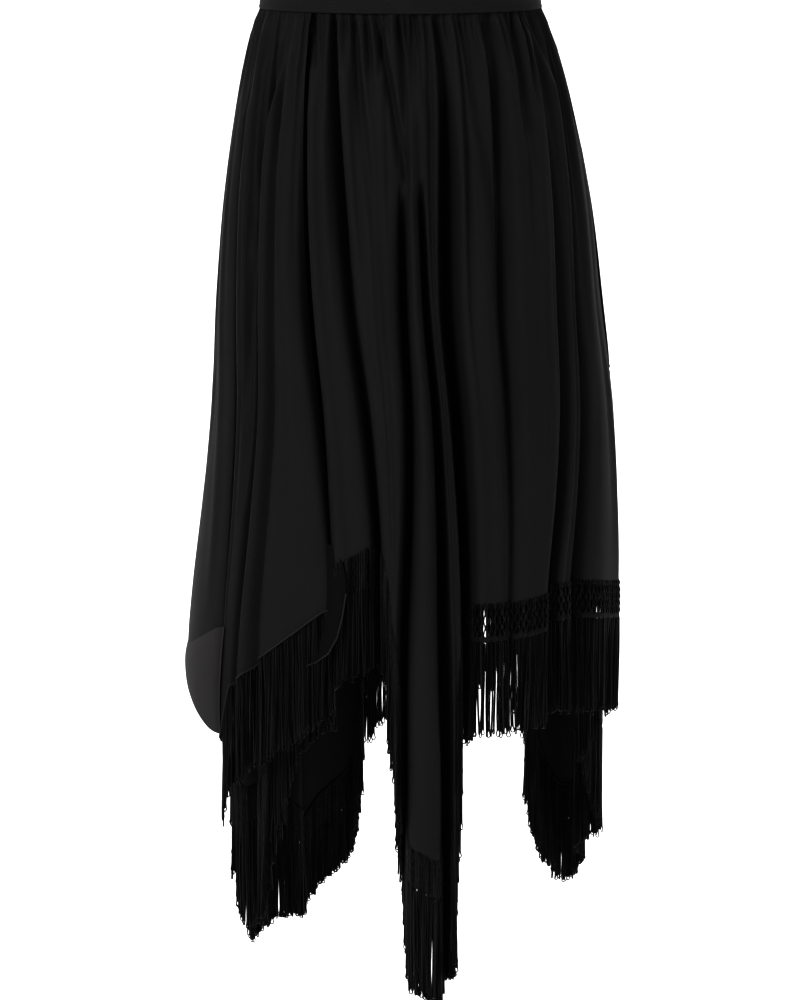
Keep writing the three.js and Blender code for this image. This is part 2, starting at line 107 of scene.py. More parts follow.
Fold = namedtuple(
    "Fold",
    "name waist_from waist_to hip_from hip_to hem_from hem_to crown opens hip_depth hem_depth "
    "fall_from fall_to under low",
)
SKIRT_FOLDS = [
    Fold("side_left", -91, -81, -91, -80, -91, -80, 1, 0, 6, 10, 500, 520, 1, 1),
    Fold("left_corner", -75, -63, -73, -61, -66, -55, 2, 0, 6, 10, 640, 722, 1, 1),
    Fold("under_flap", -57, -45, -54, -43, -47, -35, 1, 0, 20, 22, 715, 560, 1, 1),
    Fold("left_panel", -36.6, -29, -28.5, -19.4, -20, -10.2, 3, 0, 19, 25, 502, 484, 0, 0),
    Fold("middle_panel", -25, -4, -14.5, -3, -6.8, -1.5, 4, 150, 30, 26, 490, 596, 0, 0),
    Fold("front_point", 0, 2.4, 0.6, 4.2, 2.6, 11.6, 7, 145, 24, 34, 758, 772, 0, 0),
    Fold("narrow_fold", 5.8, 12.4, 6.8, 9.6, 16.6, 15.8, 1, 60, 36, 42, 745, 572, 0.22, 0.2),
    Fold("right_panel_a", 18, 31, 15.8, 26.5, 18.8, 27.2, 3, 0, 9, 6, 536, 536, 0, 0),
    Fold("right_panel_b", 38, 56, 32, 49.5, 30.4, 40, 4, 0, 13, 28, 536, 530, 0, 0),
    Fold("right_fold", 62, 70, 57, 61.5, 44.4, 49.6, 1, 0, 15, 26, 524, 524, 0.1, 0.1),
    Fold("side_right", 76, 90, 68, 88, 57.5, 86, 2, 0, 6, 10, 526, 540, 0, 0),
    Fold("back_right", 101, 109, 102, 109, 99, 105, 1, 0, 8, 12, 640, 665, 1, 0.2),
    Fold("right_corner", 115, 128, 113, 125, 113, 124, 3, 0, 8, 16, 690, 722, 1, 0.35),
    Fold("back_a", 136, 147, 135, 146, 136, 147, 1, 0, 8, 16, 590, 545, 1, 1),
    Fold("back_b", 154, 166, 154, 166, 155, 167, 1, 0, 8, 16, 536, 536, 1, 1),
    Fold("back_c", 173, 187, 173, 187, 173, 194.5, 1, 0, 8, 18, 536, 540, 1, 1),
    Fold("back_corner", 195, 214, 195, 214, 200, 213, 3, 0, 8, 20, 720, 760, 1, 1),
    Fold("back_corner_side", 222, 234, 222, 234, 222, 236, 2, 0, 8, 14, 765, 780, 1, 1),
    Fold("back_d", 242, 259, 242, 259, 247, 258, 1, 0, 8, 12, 665, 600, 1, 1),
]
OVER_FOLDS = [
    Fold("right_edge", 101, 111, 98.5, 109, 99, 109, 4, 0, 8, 10, 346, 390, 0, 0),
    Fold("back_right", 118, 129, 116, 127, 116, 126, 4, 0, 9, 13, 425, 468, 0, 0),
    Fold("back_slope_a", 136, 147, 134, 146, 134, 145, 4, 0, 9, 14, 500, 535, 0, 0),
    Fold("back_slope_b", 153, 165, 153, 166, 153, 167, 5, 0, 10, 16, 555, 575, 0, 0),
    Fold("back_middle", 172, 185, 174, 186, 176, 187, 4, 0, 9, 14, 595, 620, 0, 0),
    Fold("back_left", 192, 205, 193, 206, 195, 207, 4, 0, 9, 14, 650, 695, 0, 0),
    Fold("back_corner", 212, 225, 213, 226, 215, 227, 5, 0, 9, 14, 728, 722, 0, 0),
    Fold("back_corner_side", 232, 246, 233, 246, 235, 246, 4, 0, 8, 13, 640, 575, 0, 0),
    Fold("side_left", 253, 284, 254, 292, 254, 303.5, 2, 0, 5, 13, 584, 666, 0, 0),
    Fold("front_fold_a", 289, 301, 298, 306, 305.8, 308.5, 1, 0, 13, 5, 671, 620, 0, 0),
    Fold("front_fold_b", 304.5, 308, 310, 312.6, 311, 313.5, 1, 0, 8, 10, 613, 606, 0, 0),
    Fold("flap", 312, 318.5, 317.5, 326, 319, 339.4, 3, 0, 24, 24, 589, 541, 0, 0),
]
Edge = namedtuple("Edge", "waist hip hem fall out")
OVER_START = Edge(99.5, 95.5, 96.5, 338, 6.5)
OVER_END = Edge(322.0, 327.8, 340.6, 538, -12)
FIRST_BACK_FOLD = "back_right"
PLAIN_HEM = (246, 306)

# How much lower the cloth hangs inside the fringe at the two back corners, where it is twisted. The
# strands there are shorter by as much.
LOWER = {"right_corner": 38, "back_corner": 42, "back_corner_side": 12}

# Soft creases: the waist angle that a crease follows, the drops where it starts and ends, how
# deep and how wide it is (degrees at the waist), and how far it drifts on its way down. A negative depth
# is a ridge.
Crease = namedtuple("Crease", "waist start end depth width drift")
SKIRT_CREASES = [
    Crease(-33, 30, 330, 1.6, 1.0, 0.6),
    Crease(-21, 10, 250, 2.4, 1.1, 1.2),
    Crease(-16, 25, 520, -2.2, 1.7, -0.8),
    Crease(-11, 60, 380, 1.8, 1.2, 0.8),
    Crease(-7, 20, 200, 2.2, 0.9, 0.2),
    Crease(1.2, 150, 760, -2.2, 0.6, 0.0),
    Crease(21.5, 30, 420, 1.6, 1.2, 0.5),
    Crease(27, 40, 520, -1.8, 2.2, 0.4),
    Crease(31.5, 60, 300, 1.8, 1.0, -0.5),
    Crease(42, 40, 520, -2.0, 2.4, -0.8),
    Crease(46, 20, 240, 2.4, 1.2, 1.0),
    Crease(51, 90, 460, 1.4, 1.4, -0.6),
    Crease(66, 60, 430, 1.4, 1.0, 0.0),
    Crease(83, 80, 500, 1.8, 1.6, 0.4),
    Crease(119, 60, 500, 2.0, 1.6, 0.5),
    Crease(142, 80, 420, 1.6, 1.4, -0.5),
    Crease(180, 40, 480, 2.0, 1.6, 0.5),
    Crease(204, 120, 640, 2.2, 1.8, 0.8),
    Crease(228, 90, 560, 1.6, 1.6, -0.6),
    Crease(250, 60, 450, 1.6, 1.6, 0.4),
]
OVER_CREASES = [
    Crease(105, 50, 300, 1.6, 1.2, 0.4),
    Crease(123, 40, 360, 2.2, 1.4, 0.6),
    Crease(141, 90, 460, 1.6, 1.6, -0.6),
    Crease(158, 60, 540, 2.0, 1.4, 0.4),
    Crease(178, 30, 420, 2.2, 1.6, 0.8),
    Crease(198, 110, 600, 1.8, 1.4, -0.4),
    Crease(217, 60, 680, 2.2, 1.8, 0.5),
    Crease(239, 40, 520, 1.8, 1.4, -0.5),
    Crease(259, 30, 360, 2.4, 1.2, 0.4),
    Crease(266, 60, 620, 2.4, 1.8, -0.6),
    Crease(273, 20, 420, 3.0, 1.1, 0.6),
    Crease(279, 80, 560, -1.6, 1.6, 0.4),
    Crease(292, 30, 620, 3.0, 0.9, 0.3),
    Crease(297.5, 10, 480, 4.0, 0.8, 0.5),
    Crease(306, 60, 600, -1.6, 0.8, 0.2),
    Crease(314.5, 80, 560, 1.4, 0.9, 0.2),
]

# The gathers that show most, pulled in at the seam: the waist angle, how far down each runs, how deep
# and wide it is, and how many degrees it slants over that length.
Pull = namedtuple("Pull", "waist length depth width slant")
SKIRT_PULLS = [
    Pull(-28.3, 260, 11.0, 1.2, 0.5),
    Pull(-19.4, 210, 12.0, 1.3, 6.0),
    Pull(-14.0, 110, 7.0, 1.0, 2.0),
    Pull(-9.6, 200, 12.0, 1.1, 13.0),
    Pull(-1.6, 60, 7.0, 0.9, 1.0),
    Pull(6.0, 90, 8.0, 1.0, 1.2),
    Pull(13.6, 230, 14.0, 1.2, 4.2),
    Pull(24.2, 120, 12.0, 1.3, 1.8),
    Pull(36.9, 440, 15.0, 2.0, -1.2),
    Pull(51.0, 120, 9.0, 1.2, -5.0),
    Pull(63.6, 240, 11.0, 1.5, -2.4),
]
OVER_PULLS = [
    Pull(305.9, 360, 18.0, 0.85, -10.5),
    Pull(310.2, 220, 15.0, 0.8, -14.5),
    Pull(300.2, 460, 16.0, 0.8, 0.2),
    Pull(296.2, 380, 14.0, 0.9, 0.1),
    Pull(318.9, 70, 5.0, 0.6, 0.9),
]

# The upper edge of the corner that is turned back.
Turn = namedtuple("Turn", "degrees drop")
TURNED = [
    Turn(246, 628),
    Turn(256, 622),
    Turn(262, 618),
    Turn(270, 609),
    Turn(279.6, 598),
    Turn(294.3, 582),
    Turn(302.3, 571),
    Turn(306, 567),
]

# The layer behind the flap: its share of the way from left to right, its angle, its top, its hem and
# how far out it lies.
Tuck = namedtuple("Tuck", "share degrees top hem out")
TUCKED = [
    Tuck(0.0, 329.0, 500, 598, -6.0),
    Tuck(0.3, 333.5, 490, 594, -5.0),
    Tuck(0.5, 336.8, 480, 589, -3.5),
    Tuck(0.68, 340.4, 484, 580, 1.0),
    Tuck(0.84, 342.7, 498, 565, 4.5),
    Tuck(0.93, 343.7, 508, 547, 4.8),
    Tuck(1.0, 344.2, 517, 524, 4.5),
]


def hermite(a, b, slope_a, slope_b, t):
    return (
        a * (2 * t**3 - 3 * t**2 + 1)
        + slope_a * (t**3 - 2 * t**2 + t)
        + b * (3 * t**2 - 2 * t**3)
        + slope_b * (t**3 - t**2)
    )


def through(p0, p1, p2, p3, t):
    return hermite(p1, p2, (p2 - p0) / 2, (p3 - p1) / 2, t)


def ease(t):
    return t * t * (3 - 2 * t)


def column(table, drop, key):
    """A smooth value of one column of a table whose rows are in order of drop."""
    drops = np.array([row.drop for row in table], float)
    values = np.array([getattr(row, key) for row in table], float)
    low = np.r_[0, np.arange(len(table) - 1)]
    high = np.r_[np.arange(1, len(table)), len(table) - 1]
    slopes = (values[high] - values[low]) / (drops[high] - drops[low])
    wanted = np.clip(np.asarray(drop, float), 0, drops[-1])
    i = np.clip(np.searchsorted(drops, wanted, side="right") - 1, 0, len(table) - 2)
    span = drops[i + 1] - drops[i]
    t = (wanted - drops[i]) / span
    return hermite(values[i], values[i + 1], slopes[i] * span, slopes[i + 1] * span, t)


def body_point(degrees, drop, out, hang):
    """Points of the cloth: out is square to the body's form at the drop hang, and drop gives the height."""
    angle = np.radians(degrees)
    left = column(BODY, hang, "left")
    right = column(BODY, hang, "right")
    half = (left + right) / 2
    deep = np.where(np.cos(angle) > 0, column(BODY, hang, "front"), column(BODY, hang, "back"))
    nx = np.sin(angle) / half
    ny = -np.cos(angle) / deep
    size = np.hypot(nx, ny)
    nx, ny = nx / size, ny / size
    x = (right - left) / 2 + half * np.sin(angle) + nx * out
    y = -deep * np.cos(angle) + ny * out
    z = SEAM_HEIGHT - SEAM_GAP - drop - WAIST_DIP * np.cos(angle)
    return np.stack([x, y, z], -1), np.stack([nx, ny, np.zeros_like(nx)], -1)


def angle_at(waist, hip, hem, fall, drop):
    d = np.minimum(drop, fall)
    low = (hem - hip) / (fall - HIP_DROP)
    high = (hip - waist) / HIP_DROP
    middle = (low + high) / 2
    span = fall - HIP_DROP
    above = hermite(waist, hip, high * HIP_DROP, middle * HIP_DROP, np.clip(d / HIP_DROP, 0, 1))
    below = hermite(hip, hem, middle * span, low * span, np.clip((d - HIP_DROP) / span, 0, 1))
    return np.where(d < HIP_DROP, above, below)


def valley_depth(fold, drop):
    near = np.clip((drop - fold.opens) / (HIP_DROP - fold.opens), 0, 1)
    low = max(fold.fall_to, HIP_DROP + 1)
    far = np.clip((drop - HIP_DROP) / (low - HIP_DROP), 0, 1)
    deep = fold.hip_depth + (fold.hem_depth - fold.hip_depth) * far
    return np.where(drop < HIP_DROP, fold.hip_depth * (1 - (1 - near) ** 2), deep)


Station = namedtuple("Station", "name fall place lower")


def stations_of(folds, closed):
    """Shoulder, crown, shoulder and valley of every fold.

    Each is a Station: its fold's name, its fall, its place at a drop, and how much lower its cloth hangs.
    """

    def start(f, d):
        return angle_at(f.waist_from, f.hip_from, f.hem_from, f.fall_from, d)

    def end(f, d):
        return angle_at(f.waist_to, f.hip_to, f.hem_to, f.fall_to, d)

    def base(f, d):
        freed = ease(np.clip((d - FREE_BELOW) / max(1, f.fall_to - FREE_BELOW), 0, 1))
        return -(f.under + (f.low - f.under) * freed) * column(LAYER_ROOM, d, "room")

    def grown(d):
        return ease(np.clip(d / HIP_DROP, 0, 1))

    def crown(f):
        return lambda d: ((start(f, d) + end(f, d)) / 2, base(f, d) + f.crown * grown(d))

    def valley(f, g, turn):
        return lambda d: (
            (end(f, d) + start(g, d) + turn) / 2,
            np.minimum(base(f, d), base(g, d)) - valley_depth(f, d),
        )

    found = []
    for i, f in enumerate(folds):
        lower = LOWER.get(f.name, 0)
        found.append(Station(f.name, f.fall_from, lambda d, f=f: (start(f, d), base(f, d)), lower))
        found.append(Station(f.name, (f.fall_from + f.fall_to) / 2, crown(f), lower))
        found.append(Station(f.name, f.fall_to, lambda d, f=f: (end(f, d), base(f, d)), lower))
        last = i + 1 == len(folds)
        if last and not closed:
            break
        g = folds[(i + 1) % len(folds)]
        lower = (lower + LOWER.get(g.name, 0)) / 2
        found.append(Station(f.name, (f.fall_to + g.fall_from) / 2, valley(f, g, 360 if last else 0), lower))
    return found


def free_edge(edge):
    def place(d):
        return (
            angle_at(edge.waist, edge.hip, edge.hem, edge.fall, d),
            edge.out * ease(np.clip(d / HIP_DROP, 0, 1)),
        )

    return Station("edge", edge.fall, place, 0)


def smooth_falls(falls, u):
    """The hem's drop at the fractional stations u, with no overshoot between stations."""
    falls = np.asarray(falls, float)
    step = np.diff(falls)
    slopes = np.zeros(len(falls))
    same = step[:-1] * step[1:] > 0
    slopes[1:-1][same] = 2 * step[:-1][same] * step[1:][same] / (step[:-1][same] + step[1:][same])
    slopes[0], slopes[-1] = step[0], step[-1]
    i = np.clip(u.astype(int), 0, len(falls) - 2)
    return hermite(falls[i], falls[i + 1], slopes[i], slopes[i + 1], u - i)


GATHER_LENGTHS = [60, 100, 150, 220, 320]
LENGTH_ODDS = [0.2, 0.27, 0.25, 0.17, 0.11]
PUFF = 2.6  # how far the cloth stands out between gathers, just under the seam


def gathers(waist, drop, deepest, limit, pulls, seed):
    """How far the gathers at the waist pull the cloth in: those of the table, and uneven ones between."""
    rng = np.random.default_rng(seed)
    rows = list(pulls)
    low, high = waist.min(), waist.max()
    count = int(round((high - low) / GATHER_DEGREES))
    for i in range(count):
        middle = low + (i + 0.5 + rng.uniform(-0.35, 0.35)) * (high - low) / count
        length = rng.choice(GATHER_LENGTHS, p=LENGTH_ODDS)
        length *= rng.uniform(0.85, 1.2)
        depth = rng.uniform(0.45, 1) * deepest
        rows.append(Pull(middle, length, depth, rng.uniform(0.7, 1.3), rng.uniform(-3, 3)))
        fine = middle + rng.uniform(1.2, 3.2)
        length, depth = rng.uniform(18, 55), rng.uniform(0.2, 0.45) * deepest
        rows.append(Pull(fine, length, depth, rng.uniform(0.45, 0.7), 0.3))
    pulled = np.zeros_like(drop)
    sewn = 0.45 + 0.55 * ease(np.clip(drop / 12, 0, 1))
    for g in rows:
        down = np.clip(drop / g.length, 0, 1)
        side = waist - g.waist - g.slant * down
        depth = g.depth * (1 - down) ** 0.6
        pulled -= depth * np.exp(-((side / (g.width * (1 + 1.1 * down))) ** 2))
    pulled = -limit * np.tanh(-pulled / limit) * sewn
    puff = PUFF * ease(np.clip(drop / 14, 0, 1)) * np.clip(1 - drop / 160, 0, 1)
    return pulled + puff


def creases(waist, drop, table, seed):
    """How far the soft creases pull the cloth in, those of the table and some small uneven ones."""
    rng = np.random.default_rng(seed)
    rows = list(table)
    low, high = waist.min(), waist.max()
    for _ in range(int((high - low) / 3.4)):
        start = rng.uniform(20, 420)
        rows.append(
            Crease(
                rng.uniform(low, high), start, start + rng.uniform(90, 300),
                rng.choice([-1, 1]) * rng.uniform(0.4, 1.1), rng.uniform(0.7, 1.8), rng.uniform(-1.2, 1.2),
            )
        )
    pulled = np.zeros_like(drop)
    for c in rows:
        along = np.clip((drop - c.start) / (c.end - c.start), 0, 1)
        side = waist - c.waist - c.drift * along
        pulled -= c.depth * np.sin(math.pi * along) ** 0.8 * np.exp(-((side / c.width) ** 2))
    return pulled


Cloth = namedtuple("Cloth", "points normals degrees drops falls lower")


def drape(stations, first, last, closed, seed, table, pulls, deepest, on_top, rows, spacing):
    """A grid of cloth points between two stations of a run, from the waist seam to the hem."""
    count = len(stations)

    def at(k, d):
        turns = k // count if closed else 0
        index = k - turns * count if closed else min(max(k, 0), count - 1)
        degrees, out = stations[index].place(d)
        return degrees + 360 * turns, out

    run = [stations[k % count if closed else min(max(k, 0), count - 1)] for k in range(first, last + 1)]
    u = []
    for k in range(first, last):
        long = 0
        for d in (20.0, 150.0, 272.0, 480.0):
            (a, b), (c, e) = at(k, d), at(k + 1, d)
            p, _ = body_point(a, d, b, d)
            q, _ = body_point(c, d, e, d)
            long = max(long, float(np.linalg.norm(p - q)))
        steps = int(np.clip(math.ceil(long / spacing), 5, 60))
        u.extend(k - first + np.arange(steps) / steps)
    u = np.array(u + [last - first], float)
    fall = smooth_falls([station.fall + station.lower for station in run], u)
    lower = fall - smooth_falls([station.fall for station in run], u)
    s = np.linspace(0, 1, rows)
    drops = fall[:, None] * (0.55 * s + 0.45 * s**2)[None, :]
    k = np.minimum(u.astype(int), last - first - 1)
    t = (u - k)[:, None]

    def place(d):
        degrees = np.zeros_like(d)
        out = np.zeros_like(d)
        for gap in range(last - first):
            m = k == gap
            near = [at(gap + first + n, d[m]) for n in (-1, 0, 1, 2)]
            degrees[m] = through(*[p[0] for p in near], t[m])
            out[m] = through(*[p[1] for p in near], t[m])
        return degrees, out

    waist = place(np.zeros_like(drops[:, :1]))[0][:, 0]
    plumb = np.array([fall[np.abs(waist - w) <= PLUMB_WINDOW].min() for w in waist])[:, None]
    over = (drops - plumb) / PLUMB_SOFTNESS
    hang = drops - PLUMB_SOFTNESS * np.logaddexp(0, np.clip(over, -40, 40))
    hang = np.maximum(hang, 0)
    degrees, out = place(hang)
    wide = waist[:, None] + np.zeros_like(drops)
    limit = ROOM_SHARE * column(LAYER_ROOM, drops, "room") if on_top else GATHER_LIMIT
    out = out + gathers(wide, drops, deepest, limit, pulls, seed)
    out = out + creases(wide, drops, table, seed + 1) - HALF_WALL
    points, normals = body_point(degrees, drops, out, hang)
    return Cloth(points, normals, degrees, drops, fall, lower)


def make_mesh(name, points, faces, uv=None):
    mesh = bpy.data.meshes.new(name)
    mesh.from_pydata(np.asarray(points).tolist(), [], np.asarray(faces).tolist())
    if uv is not None:
        layer = mesh.uv_layers.new(name="cloth")
        loops = np.empty(len(mesh.loops), int)
        mesh.loops.foreach_get("vertex_index", loops)
        layer.data.foreach_set("uv", np.asarray(uv, np.float32)[loops].ravel())
    mesh.shade_smooth()
    mesh.update()
    thing = bpy.data.objects.new(name, mesh)
    bpy.context.scene.collection.objects.link(thing)
    return thing


def grid_faces(wide, tall):
    """Quads of a grid of wide columns by tall rows, facing out where the columns run to the right."""
    j = np.arange(wide - 1)
    i = np.arange(tall - 1)
    a = (j[:, None] * tall + i[None, :]).ravel()
    b = a + tall
    return np.stack([a, a + 1, b + 1, b], 1)


def grid_sheet(name, points):
    """A sheet of cloth from a grid of points in millimetres, with its threads' lengths as coordinates."""
    wide, tall = points.shape[:2]
    across = np.linalg.norm(np.diff(points, axis=0), axis=2)
    down = np.linalg.norm(np.diff(points, axis=1), axis=2)
    u = np.zeros((wide, tall))
    v = np.zeros((wide, tall))
    u[1:] = np.cumsum(across[:, tall // 2])[:, None]
    v[:, 1:] = np.cumsum(down, axis=1)
    uv = np.stack([u, v], -1).reshape(-1, 2) * MM
    return make_mesh(name, points.reshape(-1, 3) * MM, grid_faces(wide, tall), uv)


def tubes(name, paths, radii, sides, side_vectors):
    """Many cords in one mesh. paths is cords by points by 3 and radii is cords by points, in millimetres."""
    cords, count = paths.shape[:2]
    tangent = np.gradient(paths, axis=1)
    tangent /= np.maximum(np.linalg.norm(tangent, axis=2, keepdims=True), 1e-9)
    b = side_vectors - (side_vectors * tangent).sum(2, keepdims=True) * tangent
    b /= np.maximum(np.linalg.norm(b, axis=2, keepdims=True), 1e-9)
    n = np.cross(tangent, b)
    turn = np.arange(sides) * 2 * math.pi / sides
    ring = np.cos(turn)[:, None] * n[:, :, None, :] + np.sin(turn)[:, None] * b[:, :, None, :]
    verts = paths[:, :, None, :] + ring * radii[:, :, None, None]
    base = (np.arange(cords) * count * sides)[:, None, None]
    i = (np.arange(count - 1) * sides)[None, :, None]
    s = np.arange(sides)[None, None, :]
    after = (s + 1) % sides
    quads = np.stack(
        [base + i + s, base + i + after, base + i + sides + after, base + i + sides + s], -1
    ).reshape(-1, 4)
    long = np.zeros((cords, count))
    long[:, 1:] = np.cumsum(np.linalg.norm(np.diff(paths, axis=1), axis=2), axis=1)
    uv = np.stack(np.broadcast_arrays(turn[None, None, :] * 0.5, long[:, :, None]), -1) * MM
    return make_mesh(name, verts.reshape(-1, 3) * MM, quads, uv.reshape(-1, 2))


# Materials

def socket(group, name, kind, way, value=None):
    made = group.interface.new_socket(name=name, in_out=way, socket_type=kind)
    if value is not None:
        made.default_value = value
    return made


def fill_in(node, values):
    """Sets a node's inputs by their names."""
    for name, value in values.items():
        node.inputs[name].default_value = value
    return node


def join(start, output, end, enters):
    """Links one node's output to another node's input."""
    end.id_data.links.new(start.outputs[output], end.inputs[enters])


def new_material(name):
    material = bpy.data.materials.new(name)
    material.use_nodes = True
    nodes = material.node_tree.nodes
    return material, nodes, nodes["Principled BSDF"]


def crepe_weave():
    """Fine crepe grain: a tone, and a height for the bump, from the cloth's own thread coordinates."""
    group = bpy.data.node_groups.get("Crepe weave")
    if group:
        return group
    group = bpy.data.node_groups.new("Crepe weave", "ShaderNodeTree")
    socket(group, "Vector", "NodeSocketVector", "INPUT")
    socket(group, "Threads per metre", "NodeSocketFloat", "INPUT", 1400.0)
    socket(group, "Twill", "NodeSocketFloat", "INPUT", 0.0)
    socket(group, "Tone", "NodeSocketFloat", "OUTPUT")
    socket(group, "Height", "NodeSocketFloat", "OUTPUT")
    nodes = group.nodes
    enter = nodes.new("NodeGroupInput")
    leave = nodes.new("NodeGroupOutput")
    grain = fill_in(nodes.new("ShaderNodeTexNoise"), {"Detail": 3.0, "Roughness": 0.65})
    join(enter, "Vector", grain, "Vector")
    join(enter, "Threads per metre", grain, "Scale")
    turned = fill_in(nodes.new("ShaderNodeMapping"), {"Rotation": (0, 0, math.radians(38))})
    join(enter, "Vector", turned, "Vector")
    twill = fill_in(nodes.new("ShaderNodeTexWave"), {"Distortion": 1.2, "Detail": 2.0, "Detail Scale": 3.0})
    join(turned, "Vector", twill, "Vector")
    slower = nodes.new("ShaderNodeMath")
    slower.operation = "MULTIPLY"
    slower.inputs[1].default_value = 0.11
    join(enter, "Threads per metre", slower, 0)
    join(slower, 0, twill, "Scale")
    both = nodes.new("ShaderNodeMix")
    both.data_type = "FLOAT"
    join(enter, "Twill", both, "Factor")
    join(grain, "Fac", both, "A")
    join(twill, "Fac", both, "B")
    wear = fill_in(nodes.new("ShaderNodeTexNoise"), {"Scale": 9.0, "Detail": 2.0})
    join(enter, "Vector", wear, "Vector")
    tone = nodes.new("ShaderNodeMix")
    tone.data_type = "FLOAT"
    fill_in(tone, {"Factor": 0.45})
    join(both, "Result", tone, "A")
    join(wear, "Fac", tone, "B")
    join(tone, "Result", leave, "Tone")
    join(both, "Result", leave, "Height")
    return group


Finish = namedtuple("Finish", "roughness sheen threads_per_metre twill bump")
FINISHES = {
    "band_cloth": Finish(0.8, 0.03, 1300, 0.0, 0.45),
    "crepe_right_side": Finish(0.7, 0.0, 1500, 0.0, 0.5),
    "crepe_wrong_side": Finish(0.85, 0.06, 1500, 0.55, 0.7),
    "crepe_behind_flap": Finish(0.8, 0.0, 1500, 0.0, 0.5),
    "hem_roll": Finish(0.7, 0.02, 1500, 0.0, 0.3),
    "fringe_band": Finish(0.7, 0.02, 700, 0.5, 0.9),
}


def cloth_material(name, colour):
    """Matt cloth, made once for each row of FINISHES: the weave varies its colour and lifts its surface."""
    if name in bpy.data.materials:
        return bpy.data.materials[name]
    finish = FINISHES[name]
    material, nodes, shader = new_material(name)
    fill_in(shader, {"Roughness": finish.roughness, "Specular IOR Level": 0.1, "Sheen Weight": finish.sheen})
    fill_in(shader, {"Sheen Roughness": 0.45, "Sheen Tint": (0.55, 0.53, 0.54, 1)})
    where = nodes.new("ShaderNodeUVMap")
    where.uv_map = "cloth"
    weave = nodes.new("ShaderNodeGroup")
    weave.node_tree = crepe_weave()
    fill_in(weave, {"Threads per metre": finish.threads_per_metre, "Twill": finish.twill})
    join(where, "UV", weave, "Vector")
    ramp = nodes.new("ShaderNodeMix")
    ramp.data_type = "RGBA"
    fill_in(ramp, {"A": (*shade(colour, 0.72), 1), "B": (*shade(colour, 1.28), 1)})
    join(weave, "Tone", ramp, "Factor")
    join(ramp, "Result", shader, "Base Color")
    lift = fill_in(nodes.new("ShaderNodeBump"), {"Strength": finish.bump, "Distance": 0.0004})
    join(weave, "Height", lift, "Height")
    join(lift, "Normal", shader, "Normal")
    return material


def cord_material(name, colour):
    """Black rayon cord: a fine twist along it, and a little lustre."""
    if name in bpy.data.materials:
        return bpy.data.materials[name]
    material, nodes, shader = new_material(name)
    fill_in(shader, {"Roughness": 0.5, "Specular IOR Level": 0.07, "Sheen Weight": 0.02})
    where = nodes.new("ShaderNodeTexCoord")
    turned = fill_in(nodes.new("ShaderNodeMapping"), {"Rotation": (math.radians(52), math.radians(20), 0)})
    join(where, "Object", turned, "Vector")
    twist = nodes.new("ShaderNodeTexWave")
    twist.bands_direction = "Z"
    fill_in(twist, {"Scale": 260.0, "Distortion": 2.0})
    join(turned, "Vector", twist, "Vector")
    drawn = fill_in(nodes.new("ShaderNodeMapping"), {"Scale": (1, 1, 0.02)})
    join(where, "Object", drawn, "Vector")
    patch = fill_in(nodes.new("ShaderNodeTexNoise"), {"Scale": 420.0, "Detail": 1.0})
    join(drawn, "Vector", patch, "Vector")
    share = fill_in(nodes.new("ShaderNodeMapRange"), {"From Min": 0.36, "From Max": 0.64})
    join(patch, "Fac", share, "Value")
    ramp = nodes.new("ShaderNodeMix")
    ramp.data_type = "RGBA"
    fill_in(ramp, {"A": (*shade(colour, 0.3), 1), "B": (*shade(colour, 1.9), 1)})
    join(share, "Result", ramp, "Factor")
    join(ramp, "Result", shader, "Base Color")
    lift = fill_in(nodes.new("ShaderNodeBump"), {"Strength": 0.5, "Distance": 0.0003})
    join(twist, "Fac", lift, "Height")
    join(lift, "Normal", shader, "Normal")
    return material


def dress(thing, material):
    thing.data.materials.clear()
    thing.data.materials.append(material)
    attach(thing, "root")
    return thing


# The fringe

NET_DROPS = [8.0, 14.5, 21.0, 27.5]  # the rows of knots under the hem
LOW_CORNER = 650  # below the waist, where a hanging corner begins
CORNER_CROWDING = 1.7  # how many more strands a stretch at the lowest corner has, as a share
STEEP_SHARE = 0.5  # the part of a hem's fall that counts towards its length
SHORT_PANEL = 545  # below the waist, above which the front's shortest panel ends
SHORT_STRANDS = 20  # how much shorter the strands are there
BROAD_STRANDS = 9  # how much shorter they are on the broad panel beside it
FLARE_ABOVE = 480  # below the waist, above which the skirt behind still widens and pushes strands out
FLARE = 11  # how far it pushes their ends
CORD_RADIUS = 0.8
HALF_APART = 0.8  # from the middle of a strand to either half of its cord
DOWN_SHARES = (0.01, 0.12, 0.3, 0.5, 0.68, 0.84, 0.93)  # of its length, where the cord's way down is bent
LOOP_TURNS = (-70, -25, 25, 70)  # degrees round the loop at its end
UP_SHARES = (0.93, 0.8, 0.6, 0.4, 0.2, 0.01)

Hem = namedtuple("Hem", "points out along lower")


def hem_of(cloth, keep=None):
    points, lower = cloth.points[:, -1], cloth.lower
    if keep is not None:
        points, lower = points[keep], lower[keep]
    along = np.gradient(points, axis=0)
    along[:, 2] = 0
    along /= np.maximum(np.linalg.norm(along, axis=1, keepdims=True), 1e-9)
    square = np.stack([along[:, 1], -along[:, 0], np.zeros(len(along))], 1)
    return Hem(points, square, along, lower)


def spaced(hem, pitch, jitter, rng):
    """Places for strands along a hem.

    A stretch that runs steeply down counts for a part of its length, and the low corners, where the cloth
    is drawn together, count for more.
    """
    step = np.diff(hem.points, axis=0)
    size = np.hypot(step[:, 0], step[:, 1]) + STEEP_SHARE * np.abs(step[:, 2])
    size *= 1 + CORNER_CROWDING * np.clip((-hem.points[1:, 2] - LOW_CORNER) / 60, 0, 1)
    total = np.r_[0, np.cumsum(size)]
    count = int(total[-1] / pitch)
    places = (np.arange(count) + 0.5 + rng.uniform(-jitter, jitter, count)) * total[-1] / count

    def pick(values):
        return np.stack([np.interp(places, total, values[:, c]) for c in range(3)], 1)

    return places, pick(hem.points), pick(hem.out), pick(hem.along), np.interp(places, total, hem.lower)


